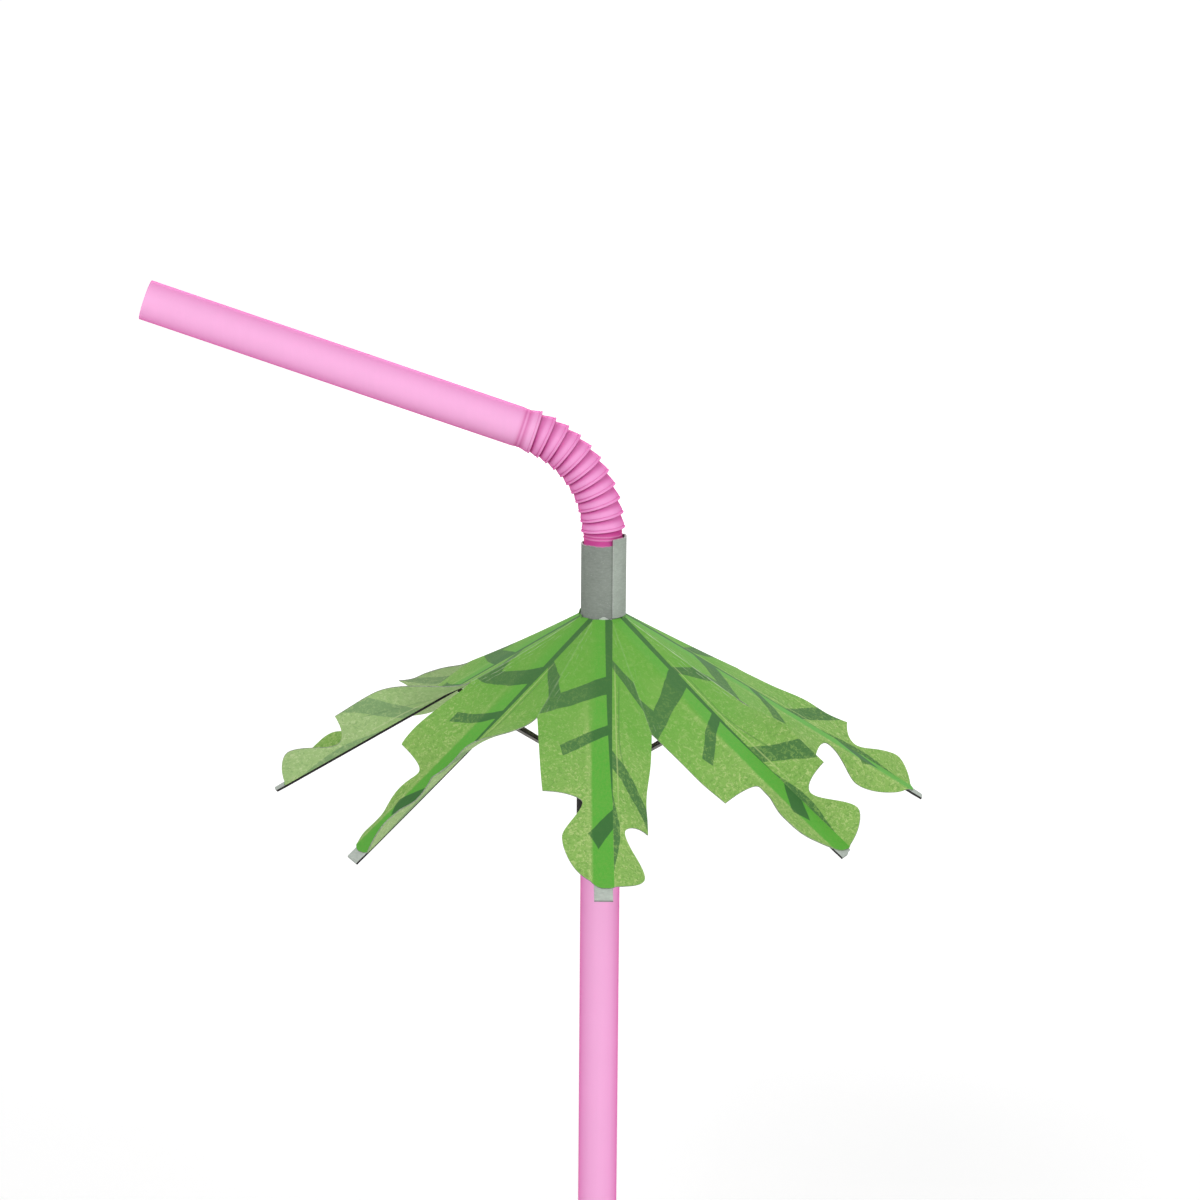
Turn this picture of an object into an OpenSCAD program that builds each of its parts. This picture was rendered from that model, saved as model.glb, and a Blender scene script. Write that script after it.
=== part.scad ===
// Palm tree straw: a bendy drinking straw that carries a small folding paper parasol,
// die-cut and printed as palm leaves. +Z runs up the straw, the origin is the centre of
// its lower open end, and the mouthpiece leans towards -X.

/* [Straw] */
// Outside diameter of the straw
straw_od = 6; // [4.5:0.1:8]
// Wall of the straw tube
straw_wall = 0.2; // [0.15:0.01:0.4]
// Length of straw below the parasol's crown
straw_below_crown = 147; // [80:1:220]
// Length of the mouthpiece, from the last fold of the bellows to its open end
mouthpiece_len = 60.3; // [30:0.1:90]

/* [Bellows] */
// Separate folds between the straw and the mouthpiece
ring_count = 10; // [4:1:10]
// Distance from one fold to the next along the centre line
ring_pitch = 1.86; // [1.6:0.02:2.4]
// How far each fold's neck reaches up inside the next fold
ring_overlap = 0.5; // [0.4:0.05:0.7]
// How far a fold's crest stands out from the straw
crest_rise = 0.32; // [0.25:0.01:0.45]
// How far a fold's neck is drawn in from the straw
neck_drop = 0.3; // [0.25:0.01:0.4]
// Wall of the folds
ring_wall = 0.17; // [0.12:0.01:0.2]
// Bend of the mouthpiece away from straight, as it stands
bend_angle = 71.4; // [0:0.1:100]

/* [Crown sleeve] */
// Thickness of the card rolled round the straw
sleeve_card = 0.22; // [0.15:0.01:0.35]
// Height of the rolled card above the rib folds
sleeve_h = 11.4; // [6:0.1:12]
// Extra height of the lapped end of the card
lap_rise = 1.1; // [0:0.1:1.5]
// Direction of the lap's edge, round from +X
lap_start = -63; // [-180:1:180]
// How far the lapped end reaches round the straw
lap_sweep = 103; // [40:1:160]
// Glue line between card and straw
glue_gap = 0.02; // [0.01:0.01:0.05]

/* [Ribs] */
// Number of ribs and leaves
rib_count = 8; // [6:1:8]
// Distance from the rib's fold to its tip
rib_len = 53.6; // [45:0.1:65]
// Width of a rib
rib_w = 2.6; // [2:0.05:2.6]
// Thickness of a rib
rib_t = 0.4; // [0.25:0.01:0.5]
// Angle of the open ribs, up from straight down
rib_open = 59; // [50:0.5:66]

/* [Stretchers and runner] */
// Distance along the rib to the stretcher's fold
stretcher_at = 21.5; // [16:0.1:26]
// Width of a stretcher
stretcher_w = 2; // [1.4:0.05:2]
// Thickness of a stretcher
stretcher_t = 0.3; // [0.2:0.01:0.35]
// Clear space between a rib and its stretcher
stretcher_gap = 0.1; // [0.08:0.01:0.2]
// How far a stretcher's foot stops short of its fold on the runner
foot_gap = 0.55; // [0.5:0.01:0.8]
// Length of the runner
runner_len = 11; // [6:0.1:16]
// Running clearance of the runner on the straw
runner_gap = 0.08; // [0.02:0.01:0.1]
// Thickness of the runner's rolled card
runner_card = 0.34; // [0.2:0.01:0.36]
// Thickness of the band round the lower runner
band_card = 0.22; // [0.1:0.01:0.3]
// Height of the bare runner above its band
band_drop = 2.2; // [2:0.1:4]

/* [Leaf paper] */
// Thickness of the leaf paper
paper_t = 0.16; // [0.1:0.01:0.2]
// How far the paper glued along a rib overhangs it each side
spine_margin = 0.15; // [0.05:0.01:0.15]
// Length of bare rib past the leaf's tip
rib_bare = 2; // [1:0.1:4]
// Gap between the rib's edge and the paper's fold line
fold_margin = 0.2; // [0.16:0.01:0.3]
// Gap from the fold line to the edge of a leaf half
fold_gap = 0.12; // [0.1:0.01:0.2]
// Distance along the ribs to the inner end of the slits
slit_at = 23.3; // [19:0.1:26]
// Depth of a hanging pleat below the ribs at the slit's inner end
pleat_depth = 0.58; // [0.3:0.01:1.2]
// Turn of the slits round from midway between two ribs
slit_shift = 2.5; // [0:0.1:3]
// Clear width each side of a pleat at the slit's inner end
slit_gap = 0.5; // [0.4:0.01:0.8]

/* [Left leaf margin] */
// Distance back from the leaf's tip to the outer corner
left_corner_back = 17.3; // [16:0.1:22]
// Width of the outer corner from the fold
left_corner_w = 6.9; // [4:0.1:8]
// Distance back from the leaf's tip to the waist
left_waist_back = 15.5; // [13.5:0.1:15.5]
// Width of the waist from the fold
left_waist_w = 1.25; // [0.6:0.05:3]
// Distance back from the leaf's tip to the tip lobe's widest point
left_lobe_back = 9.1; // [6:0.1:11]
// Width of the tip lobe from the fold
left_lobe_w = 4.15; // [2:0.05:6]
// Distance back from the leaf's tip to where the lobe ends
left_tip_back = 1.3; // [0.4:0.1:3]

/* [Right leaf margin] */
// Distance back from the leaf's tip to the outer corner
right_corner_back = 12.7; // [11:0.1:18]
// Width of the outer corner from the fold
right_corner_w = 6.2; // [3:0.1:8]
// Distance back from the leaf's tip to the waist
right_waist_back = 10.4; // [9:0.1:10.8]
// Width of the waist from the fold
right_waist_w = 1.7; // [0.6:0.05:3]
// Distance back from the leaf's tip to the tip lobe's widest point
right_lobe_back = 3.7; // [2:0.1:6]
// Width of the tip lobe from the fold
right_lobe_w = 4.85; // [2:0.05:6]
// Distance back from the leaf's tip to where the lobe ends
right_tip_back = 0.4; // [0.4:0.1:1.5]

/* [Hidden] */
$fn = 64;

PINK = [0.97, 0.66, 0.86];
CARD_GREY = [0.56, 0.58, 0.56];
RIB_GREY = [0.72, 0.76, 0.72];
CARD_BLACK = [0.13, 0.12, 0.12];
LEAF_GREEN = [0.47, 0.68, 0.31];
GLUED_GREEN = [0.33, 0.66, 0.22];

// Fold of each leaf's free halves past the slits, down from the rib's plane, as the angle
// half way out and the angle at the tip. Leaf 1 is first and points at -Y, and the others
// follow anticlockwise seen from above
left_fold = [[-5, -2], [24, -22], [8, 43], [5, 20], [2, -8], [10, 15], [8, -32], [-20, 42]];
right_fold = [[18, 14], [-38, -56], [-12, -24], [-12, -30], [10, -15], [-28, -52], [-56, -58], [-46, -56]];
// Pleats after each leaf that stand up out of the canopy instead of hanging below it
pleat_up = [false, true, true, false, true, true, true, true];
// Runs along the rib over which a half turns to the first angle and then to the second
first_run = 12;
second_start = 13;
second_run = 11;

straw_r = straw_od / 2;
bore_r = straw_r - straw_wall;
crown_z = straw_below_crown;

// Folds of the bellows
crest_r = straw_r + crest_rise;
neck_r = straw_r - neck_drop;
ring_h = ring_pitch + ring_overlap;
crest_land = 0.12;
first_crest_z = crown_z + sleeve_h + 2.1;
hinge_above_crest = ring_overlap / 2;
bend_step = bend_angle / (ring_count + 1);

// Crown sleeve and the circle that the ribs fold on
sleeve_in = straw_r + glue_gap;
sleeve_out = sleeve_in + sleeve_card;
sleeve_base = 0.1;
hinge_r = sleeve_out + 0.06;
rib_start = 0.3;
rib_turn = 360 / rib_count;

// Stretcher linkage: the crown fold, the rib fold and the runner fold make two equal sides
pivot_drop = rib_t / 2 + stretcher_gap + stretcher_t / 2;
link_len = sqrt(pow(stretcher_at, 2) + pow(pivot_drop, 2));
link_open = rib_open - atan(pivot_drop / stretcher_at);
pivot_r = hinge_r + link_len * sin(link_open);
pivot_z = -link_len * cos(link_open);
runner_top = crown_z - 2 * link_len * cos(link_open);
runner_in = straw_r + runner_gap;
runner_out = runner_in + runner_card;

// Leaf paper on its rib, and the fold lines either side
leaf_len = rib_len - rib_bare;
spine_w = rib_w + 2 * spine_margin;
slit_radius = (hinge_r + slit_at * sin(rib_open)) * cos(rib_turn / 2) - pleat_depth * cos(rib_open);
slit_drop = slit_at * cos(rib_open) + pleat_depth * sin(rib_open);
fold_t = rib_w / 2 + fold_margin;
fold_n = rib_t / 2 + paper_t / 2;
leaf_start = 3;
pleat_start = 0.7;
least_w = 0.3;

// Point a share t of the way along a cubic curve
function curve(p, t) =
    pow(1 - t, 3) * p[0] + 3 * pow(1 - t, 2) * t * p[1]
    + 3 * (1 - t) * pow(t, 2) * p[2] + pow(t, 3) * p[3];
function curve_points(p, n) = [for (k = [1:n]) curve(p, k / n)];
function ease(t) =
    let (c = min(max(t, 0), 1))
    c * c * (3 - 2 * c);

// Hinge point k of the bellows, in the plane of the bend
function bellows_hinge(k) =
    k == 1
    ? [0, 0, first_crest_z + hinge_above_crest]
    : bellows_hinge(k - 1) + ring_pitch * bellows_axis(k - 1);
function bellows_axis(k) = [-sin(k * bend_step), 0, cos(k * bend_step)];

// Slit's inner end seen from a rib: distance along it, width from the fold, fold angle
function slit_end(side) =
    let (turn = side * rib_turn / 2 - slit_shift)
    let (out = slit_radius * cos(turn) - hinge_r)
    let (across = side * slit_radius * sin(turn) - fold_t)
    let (down = fold_n - (out * cos(rib_open) - slit_drop * sin(rib_open)))
    [out * sin(rib_open) + slit_drop * cos(rib_open), norm([across, down]), atan2(down, across)];

// Fold of a leaf half in its pleat: a standing pleat mirrors a hanging one in the plane of
// the two ribs
function pleat_fold(i, side) =
    let (hang = slit_end(side)[2])
    let (after = side > 0 ? i : (i + rib_count - 2) % rib_count + 1)
    pleat_up[after - 1] ? 2 * atan(cos(rib_open) * tan(rib_turn / 2)) - hang : hang;

// Margin of a leaf half, as distances along the rib and widths from the fold
function margin_points(side) =
    let (slit = slit_end(side))
    let (left = side < 0)
    let (corner = left
        ? [leaf_len - left_corner_back, left_corner_w]
        : [leaf_len - right_corner_back, right_corner_w])
    let (waist = left
        ? [leaf_len - left_waist_back, left_waist_w]
        : [leaf_len - right_waist_back, right_waist_w])
    let (lobe = left
        ? [leaf_len - left_lobe_back, left_lobe_w]
        : [leaf_len - right_lobe_back, right_lobe_w])
    let (tip = [leaf_len - (left ? left_tip_back : right_tip_back), least_w])
    let (wide = slit[1] - slit_gap)
    let (pleat = [for (k = [0:4])
        let (s = leaf_start + (slit[0] - leaf_start) * k / 4)
        [s, max(wide * (s - pleat_start) / (slit[0] - pleat_start), least_w)]])
    let (edge = [for (k = [1:12]) [slit[0], wide] + (corner - [slit[0], wide]) * k / 12])
    let (cut = waist - corner, rise = lobe - waist, fall = tip - lobe)
    concat(
        pleat,
        edge,
        curve_points([corner, corner + [0.1 * cut[0], 0.65 * cut[1]], waist - [0.5 * cut[0], 0], waist], 5),
        curve_points([waist, waist + [0.25 * rise[0], 0], lobe - [0.25 * rise[0], 0], lobe], 6),
        curve_points([lobe, lobe + [0.4 * fall[0], 0], tip - [0.12 * fall[0], 0.45 * fall[1]], tip], 7)
    );

// Place children at rib i: X runs down the rib, Y round the straw, Z up out of the rib
module at_rib(i) {
    rotate([0, 0, (i - 1) * rib_turn - 90])
        translate([hinge_r, 0, crown_z])
            rotate([0, 90 - rib_open, 0])
                children();
}

// Ring of rectangular section round the straw
module band(inner, thick, low, high, start = 0, sweep = 360) {
    rotate([0, 0, start])
        rotate_extrude(angle = sweep)
            translate([inner, low])
                square([thick, high - low]);
}

module straw_tube() {
    neck_base = crown_z + sleeve_h - 0.4;
    waist_r = straw_r - 0.14;
    color(PINK)
        rotate_extrude()
            polygon([
                [bore_r, 0],
                [straw_r, 0],
                [straw_r, neck_base],
                [waist_r, neck_base + 0.6],
                [waist_r, first_crest_z - 0.3],
                [neck_r, first_crest_z + ring_overlap],
                [neck_r - ring_wall, first_crest_z + ring_overlap],
                [waist_r - straw_wall, first_crest_z - 0.3],
                [waist_r - straw_wall, neck_base + 0.6],
                [bore_r, neck_base]
            ]);
}

// Place children on fold k of the bellows, with Z along its axis and 0 at its crest
module at_fold(k) {
    translate(bellows_hinge(k))
        rotate([0, -k * bend_step, 0])
            translate([0, 0, -hinge_above_crest])
                children();
}

module bellows_ring(k) {
    color(PINK)
        at_fold(k)
            rotate_extrude()
                polygon([
                    [crest_r - ring_wall, 0],
                    [crest_r, 0],
                    [crest_r, crest_land],
                    [neck_r, ring_h],
                    [neck_r - ring_wall, ring_h]
                ]);
}

module mouthpiece_tube() {
    waist_r = straw_r - 0.1;
    waist_at = 1.7;
    tube_at = 3;
    color(PINK)
        at_fold(ring_count + 1)
            rotate_extrude()
                polygon([
                    [crest_r - ring_wall, 0],
                    [crest_r, 0],
                    [crest_r, crest_land],
                    [waist_r, waist_at],
                    [straw_r, tube_at],
                    [straw_r, mouthpiece_len],
                    [bore_r, mouthpiece_len],
                    [bore_r, tube_at],
                    [waist_r - ring_wall, waist_at]
                ]);
}

module crown_sleeve() {
    low = crown_z + sleeve_base;
    high = crown_z + sleeve_h;
    color(CARD_GREY)
        union() {
            band(sleeve_in, sleeve_card, low, high);
            band(sleeve_in, 2 * sleeve_card, low, high + lap_rise, lap_start, lap_sweep);
        }
}

module runner_sleeve() {
    low = runner_top - runner_len;
    color(CARD_BLACK)
        union() {
            band(runner_in, runner_card, low, runner_top);
            band(runner_in, runner_card + band_card, low, runner_top - band_drop);
        }
}

module rib(i) {
    color(RIB_GREY)
        at_rib(i)
            translate([rib_start, -rib_w / 2, -rib_t / 2])
                cube([rib_len - rib_start, rib_w, rib_t]);
}

module stretcher(i) {
    half_t = stretcher_t / 2;
    color(CARD_BLACK)
        rotate([0, 0, (i - 1) * rib_turn - 90])
            translate([pivot_r, 0, crown_z + pivot_z])
                rotate([0, 90 + link_open, 0])
                    union() {
                        translate([0, -stretcher_w / 2, -half_t])
                            cube([link_len - foot_gap, stretcher_w, stretcher_t]);
                        rotate([90, 0, 0])
                            cylinder(h = stretcher_w, r = half_t, center = true);
                    }
}

module leaf_spine(i) {
    half_w = spine_w / 2;
    color(GLUED_GREEN)
        at_rib(i)
            translate([0, 0, rib_t / 2])
                linear_extrude(paper_t)
                    union() {
                        translate([rib_start + 0.1, -half_w])
                            square([leaf_len - half_w - rib_start - 0.1, spine_w]);
                        translate([leaf_len - half_w, 0])
                            circle(half_w);
                    }
}

// Half of a leaf: a strip of paper from the fold line to the margin, which leaves the pleat
// at its slit and then turns by the leaf's own fold. side is -1 for left and 1 for right.
module leaf_half(i, side) {
    slit = slit_end(side);
    pleat = pleat_fold(i, side);
    fold = side < 0 ? left_fold[i - 1] : right_fold[i - 1];
    margin = margin_points(side);
    last = len(margin) - 1;
    half_t = paper_t / 2;
    // Section at one margin point: inner top, outer top, outer bottom, inner bottom
    function section(p) =
        let (run = p[0] - slit[0])
        let (first = (fold[0] - pleat) * ease(run / first_run))
        let (second = (fold[1] - fold[0]) * ease((run - second_start) / second_run))
        let (a = pleat + first + second)
        [for (c = [[fold_gap, half_t], [p[1], half_t], [p[1], -half_t], [fold_gap, -half_t]])
            [
                p[0],
                side * (fold_t + c[0] * cos(a) + c[1] * sin(a)),
                fold_n - c[0] * sin(a) + c[1] * cos(a)
            ]];
    points = [for (p = margin) each section(p)];
    // The two skins are split along the same diagonal, so that a twisted strip keeps its thickness
    sides = [for (j = [0:last - 1], c = [0:3])
        let (a = 4 * j + c, b = 4 * j + (c + 1) % 4)
        each c < 2
            ? [[a, b, a + 4], [b, b + 4, a + 4]]
            : [[a, b, b + 4], [a, b + 4, a + 4]]];
    end = 4 * last;
    ends = [[0, 3, 2], [0, 2, 1], [end, end + 1, end + 2], [end, end + 2, end + 3]];
    faces = concat(sides, ends);
    color(LEAF_GREEN)
        at_rib(i)
            polyhedron(points, side < 0 ? faces : [for (f = faces) [f[2], f[1], f[0]]], convexity = 6);
}

straw_tube();
for (k = [1:ring_count])
    bellows_ring(k);
mouthpiece_tube();
crown_sleeve();
runner_sleeve();
for (i = [1:rib_count])
    rib(i);
for (i = [1:rib_count])
    stretcher(i);
for (i = [1:rib_count])
    leaf_spine(i);
for (i = [1:rib_count])
    leaf_half(i, -1);
for (i = [1:rib_count])
    leaf_half(i, 1);
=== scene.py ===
# Palm tree straw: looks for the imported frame. Lengths are in millimetres until a mesh is made.
import math

import bpy
import numpy as np
from mathutils import Matrix, Vector


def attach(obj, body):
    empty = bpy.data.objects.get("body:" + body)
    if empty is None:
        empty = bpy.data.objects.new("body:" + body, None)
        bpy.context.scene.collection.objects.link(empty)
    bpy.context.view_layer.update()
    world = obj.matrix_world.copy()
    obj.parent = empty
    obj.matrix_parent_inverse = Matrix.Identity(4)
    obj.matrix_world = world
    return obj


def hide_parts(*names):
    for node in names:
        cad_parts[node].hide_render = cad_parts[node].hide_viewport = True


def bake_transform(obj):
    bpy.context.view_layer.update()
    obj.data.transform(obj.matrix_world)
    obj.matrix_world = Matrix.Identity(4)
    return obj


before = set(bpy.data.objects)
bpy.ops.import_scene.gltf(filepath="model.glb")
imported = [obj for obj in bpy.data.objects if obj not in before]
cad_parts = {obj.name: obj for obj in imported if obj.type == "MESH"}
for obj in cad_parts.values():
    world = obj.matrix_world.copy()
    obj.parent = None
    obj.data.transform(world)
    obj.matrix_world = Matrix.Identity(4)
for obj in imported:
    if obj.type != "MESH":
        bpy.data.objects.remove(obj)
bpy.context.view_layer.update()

MM = 0.001
LEAVES = 8

# Sizes shared with the part
CROWN_Z = 147.0
STRAW_R = 3.0
STRAW_WALL = 0.2
SLEEVE_H = 11.4
RING_COUNT = 10
RING_PITCH = 1.86
RING_OVERLAP = 0.5
CREST_R = 3.32
NECK_R = 2.7
RING_WALL = 0.17
MOUTHPIECE_LEN = 60.3
BEND_STEP = math.radians(71.4 / (RING_COUNT + 1))
FIRST_CREST_Z = CROWN_Z + SLEEVE_H + 2.1
HINGE_R = 3.3
RIB_OPEN = math.radians(59)
RIB_LEN = 53.6
RIB_W = 2.6
RIB_T = 0.4
PAPER_T = 0.16
FOLD_T = 1.5
FOLD_N = 0.28
LEAF_LEN = 51.6
SLIT_AT = 23.3
PLEAT_DEPTH = 0.58
SLIT_SHIFT = math.radians(2.5)
STRETCHER_AT = 21.5
STRETCHER_W = 2.0
STRETCHER_T = 0.3
STRETCHER_DROP = 0.45
RUNNER_LEN = 11.0

# Fold of each free leaf half, down from the rib's plane in degrees: half way out and at the
# tip; then the paper's curl across for each millimetre, and its slide along for each across
LEFT_FOLD = (
    (-5, -2, 0.4, 0.0),
    (26, -12, -0.6, 0.2),
    (8, 43, 1.6, 0.0),
    (5, 20, 0.8, 0.0),
    (2, -8, -0.5, 0.0),
    (10, 15, 0.9, 0.0),
    (8, -32, 0.4, 0.0),
    (-20, 30, 0.6, -0.18),
)
RIGHT_FOLD = (
    (20, 14, 6.0, 0.0),
    (-40, -56, -0.8, 0.0),
    (-12, -24, -0.6, 0.0),
    (-12, -30, 0.8, 0.0),
    (10, -15, -0.7, 0.0),
    (-28, -56, 0.6, 0.0),
    (-74, -70, 0.4, 0.0),
    (-46, -56, 0.8, 0.0),
)
# Where the second bend of a half begins past its slit, and over what length
SECOND_BEND = {(2, -1): (14.2, 5.0)}
# Pleats after each leaf that stand up out of the canopy, and how worn each pleat's crease is
PLEAT_UP = (False, True, True, False, True, True, True, True)
PLEAT_WORN = (0.25, 1.0, 0.6, 0.4, 0.5, 0.5, 0.9, 0.3)
# How far each pleat's slit end is raised and drawn in towards the crown
PLEAT_PULL = (
    (0.0, 0.0), (0.2, 1.1), (0.4, 0.8), (0.0, 0.0),
    (0.2, 0.5), (0.7, 1.2), (0.9, 2.8), (0.15, 0.6),
)
# Stretchers hold each rib straight up to here; past it the rib bows
BOW_FROM = 18.0
# Bow of each rib at its tip: up out of the canopy, and to its right
RIB_BOW = (
    (-0.3, 0.5), (1.5, 0.2), (-0.5, 0.7), (0.5, -0.3),
    (-0.4, 0.3), (0.5, 0.2), (0.4, 1.0), (0.3, -0.4),
)
# Where the print sits on each leaf: distance along, and turn across, for left and right
LEFT_PRINT = (
    (0.0, 0.0), (0.0, 0.18), (0.4, 0.1), (-0.3, 0.0),
    (0.2, 0.1), (0.0, -0.1), (-0.4, -0.1), (-0.6, 0.02),
)
RIGHT_PRINT = (
    (0.0, 0.0), (2.9, -0.6), (2.0, -0.4), (1.0, -0.2),
    (1.4, -0.3), (0.8, -0.2), (1.2, -0.3), (1.0, -0.2),
)
# Slant, nick and shortening of each rib's end, as cut by hand
RIB_SLANT = (0.0, 0.32, -0.2, 0.15, -0.25, 0.2, 0.24, -0.34)
RIB_NICK = (0.0, 0.3, 0.1, 0.0, 0.2, 0.0, 0.15, 0.0)
RIB_SHORT = (0.0, 0.9, 0.0, 0.2, 0.3, 0.1, 0.0, 0.0)
# Corner, waist, lobe and tip of a left (-1) and a right (1) half's margin: distance along the
# rib and width from the fold; then the tip's rounding over the rib
MARGIN_MARKS = {
    -1: ((34.3, 6.9), (36.1, 1.25), (42.5, 4.15), (50.3, 0.3)),
    1: ((38.9, 6.2), (41.2, 1.7), (47.9, 4.85), (51.2, 0.3)),
}
TIP_ROUNDING = {
    -1: [(50.9, -0.15), (51.35, -0.7), (51.6, -1.3)],
    1: [(51.45, -0.1), (51.6, -0.6)],
}
# Where a right piece ends, inside the rounding of the tip
RIGHT_END = 51.4

UP = np.array([0.0, 0.0, 1.0])
# Side of the square that flat coordinates are written in
FLAT_SPAN = 64.0
# Half of the softness of a printed edge
PRINT_SOFT = 0.07


def srgb(r, g, b):
    """Linear colour from 0 to 255 display values."""
    def linear(v):
        v = v / 255
        return v / 12.92 if v <= 0.04045 else ((v + 0.055) / 1.055) ** 2.4
    return (linear(r), linear(g), linear(b), 1.0)


def ease(t):
    """0 up to t = 0, 1 from t = 1, smooth between."""
    c = min(max(t, 0.0), 1.0)
    return c * c * (3 - 2 * c)


# Node helpers

class Graph:
    """Short names for the shader nodes that the materials are built from."""

    def __init__(self, name):
        self.material = bpy.data.materials.new(name)
        self.material.use_nodes = True
        self.tree = self.material.node_tree
        self.shader = self.tree.nodes["Principled BSDF"]

    def plug(self, socket, value):
        if isinstance(value, bpy.types.NodeSocket):
            self.tree.links.new(value, socket)
        else:
            socket.default_value = value

    def math(self, operation, a, b=0.0):
        node = self.tree.nodes.new("ShaderNodeMath")
        node.operation = operation
        self.plug(node.inputs[0], a)
        self.plug(node.inputs[1], b)
        return node.outputs[0]

    def add(self, a, b):
        return self.math("ADD", a, b)

    def sub(self, a, b):
        return self.math("SUBTRACT", a, b)

    def mul(self, a, b):
        return self.math("MULTIPLY", a, b)

    def step(self, value, low, high):
        """0 below low, 1 above high, smooth between."""
        node = self.tree.nodes.new("ShaderNodeMapRange")
        node.interpolation_type = "SMOOTHSTEP"
        self.plug(node.inputs["Value"], value)
        self.plug(node.inputs["From Min"], low)
        self.plug(node.inputs["From Max"], high)
        return node.outputs["Result"]

    def span(self, value, rise, fall):
        """1 between rise and fall, each a pair of values to fade over."""
        return self.mul(self.step(value, *rise), self.sub(1.0, self.step(value, *fall)))

    def line(self, value, centre, half, soft):
        """1 within half of centre, fading over soft."""
        off = self.math("ABSOLUTE", self.sub(value, centre))
        return self.sub(1.0, self.step(off, half, half + soft))

    def noise(self, vector, scale, detail=3.0, rough=0.55, stretch=0.0):
        node = self.tree.nodes.new("ShaderNodeTexNoise")
        self.plug(node.inputs["Vector"], vector)
        node.inputs["Scale"].default_value = scale
        node.inputs["Detail"].default_value = detail
        node.inputs["Roughness"].default_value = rough
        node.inputs["Distortion"].default_value = stretch
        return node.outputs["Fac"]

    def vector(self, x, y, z):
        node = self.tree.nodes.new("ShaderNodeCombineXYZ")
        for socket, value in zip(node.inputs, (x, y, z)):
            self.plug(socket, value)
        return node.outputs[0]

    def split(self, vector):
        node = self.tree.nodes.new("ShaderNodeSeparateXYZ")
        self.plug(node.inputs[0], vector)
        return node.outputs[0], node.outputs[1], node.outputs[2]

    def mix(self, factor, a, b):
        node = self.tree.nodes.new("ShaderNodeMix")
        node.data_type = "RGBA"
        self.plug(node.inputs["Factor"], factor)
        self.plug(node.inputs[6], a)
        self.plug(node.inputs[7], b)
        return node.outputs[2]

    def place(self):
        """Place in the piece's own frame, in metres."""
        return self.tree.nodes.new("ShaderNodeTexCoord").outputs["Object"]

    def attribute(self, name):
        node = self.tree.nodes.new("ShaderNodeAttribute")
        node.attribute_name = name
        return node.outputs["Fac"]

    def flat(self):
        """Flat coordinates of a piece in millimetres, from its UV map."""
        node = self.tree.nodes.new("ShaderNodeUVMap")
        node.uv_map = "flat"
        u, v, _ = self.split(node.outputs[0])
        return self.mul(self.sub(u, 0.5), FLAT_SPAN), self.mul(v, FLAT_SPAN)

    def bump(self, height, distance, strength=1.0):
        node = self.tree.nodes.new("ShaderNodeBump")
        node.inputs["Strength"].default_value = strength
        node.inputs["Distance"].default_value = distance
        self.plug(node.inputs["Height"], height)
        self.tree.links.new(node.outputs[0], self.shader.inputs["Normal"])


def straw_plastic(name, colour, deep, through):
    """Pink see-through plastic, mixed by each point's shade towards the deep pink: partly the deeper
    colour of folded walls lying behind one another, partly painted shade in creases, under rims and on
    the closed side of a bend.
    """
    g = Graph(name)
    coords = g.place()
    x, y, z = g.split(coords)
    streaks = g.noise(g.vector(x, y, g.mul(z, 0.02)), 1400.0, 2.0)
    cloud = g.noise(coords, 90.0, 2.0)
    tint = g.add(g.mul(streaks, 0.35), g.mul(cloud, 0.4))
    darker = tuple(c * 0.9 for c in colour[:3]) + (1.0,)
    plain = g.mix(tint, colour, darker)
    # Painted shade, together with the colour of doubled walls: the shade attribute draws the colour
    # towards the deep pink
    g.plug(g.shader.inputs["Base Color"], g.mix(g.attribute("shade"), plain, deep))
    g.plug(g.shader.inputs["Roughness"], g.add(0.3, g.mul(cloud, 0.14)))
    g.shader.inputs["IOR"].default_value = 1.3
    g.shader.inputs["Transmission Weight"].default_value = through
    g.bump(streaks, 0.00002, 0.35)
    # Light that runs a long way inside the wall, as at the tube's edges, takes on more colour
    g.shader.inputs["Specular IOR Level"].default_value = 0.25
    g.shader.inputs["Coat Weight"].default_value = 1.0
    g.shader.inputs["Coat Roughness"].default_value = 0.3
    g.shader.inputs["Coat IOR"].default_value = 1.03
    g.shader.inputs["Coat Tint"].default_value = srgb(252, 214, 238)
    return g.material


def card(name, face, speck):
    """Matt card: fibres, clouds and specks."""
    g = Graph(name)
    coords = g.place()
    x, y, z = g.split(coords)
    fibre = g.noise(g.vector(x, y, g.mul(z, 3.0)), 1500.0, 4.0, 0.65)
    cloud = g.noise(coords, 260.0, 3.0)
    grain = g.noise(coords, 4200.0, 2.0, 0.6)
    tone = g.add(g.mul(fibre, 0.55), g.mul(cloud, 0.45))
    shade = tuple(c * 0.74 for c in face[:3]) + (1.0,)
    colour = g.mix(g.step(tone, 0.3, 0.72), shade, face)
    colour = g.mix(g.mul(g.step(grain, 0.62, 0.74), 0.55), colour, speck)
    g.plug(g.shader.inputs["Base Color"], colour)
    g.plug(g.shader.inputs["Roughness"], g.add(0.72, g.mul(cloud, 0.2)))
    g.shader.inputs["Specular IOR Level"].default_value = 0.25
    g.bump(g.add(fibre, g.mul(grain, 0.5)), 0.00006, 0.6)
    return g.material


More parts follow.
